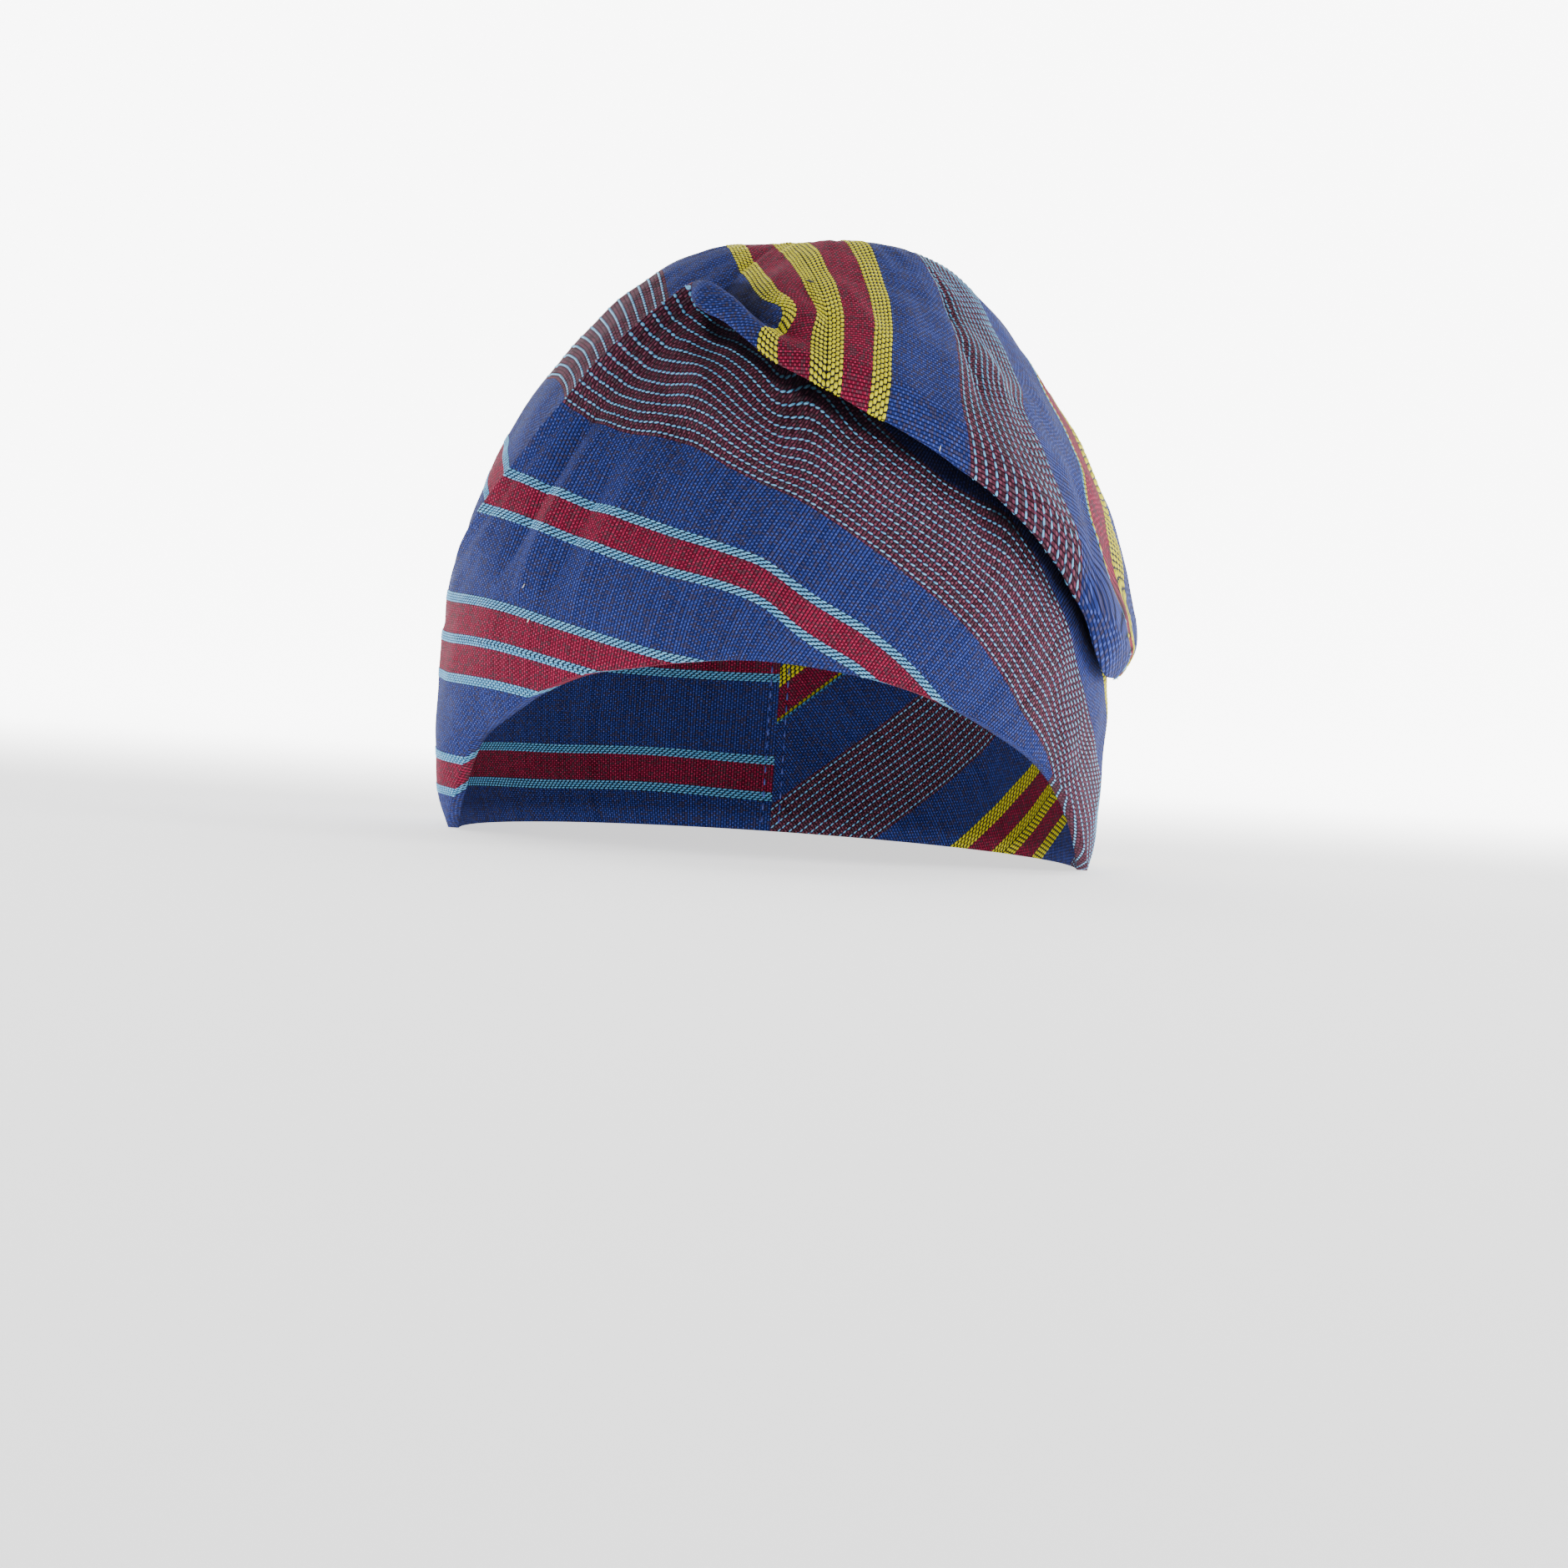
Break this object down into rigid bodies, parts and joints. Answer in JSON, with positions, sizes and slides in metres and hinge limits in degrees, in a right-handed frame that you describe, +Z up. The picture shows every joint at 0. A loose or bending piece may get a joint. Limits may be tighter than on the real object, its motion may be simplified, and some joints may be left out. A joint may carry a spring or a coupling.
{
  "type": "aso oke fila cap",
  "caption": "Soft brimless cap of hand-woven striped cloth with an open head hollow, a rim arched over the forehead and a crown that slouches over a slanting fold.",
  "frame": {"origin": "centre of the cap's bounding box, on the surface that the cap rests on", "axes": "+X to the right seen from the forehead side, which is the wearer's left, +Y from the forehead to the back, +Z up"},
  "size_m": [0.1682, 0.1974, 0.1476],
  "materials": {
    "aso_oke": "matte"
  },
  "bodies": {
    "root": {"cap_body": "aso_oke"}
  },
  "joints": []
}
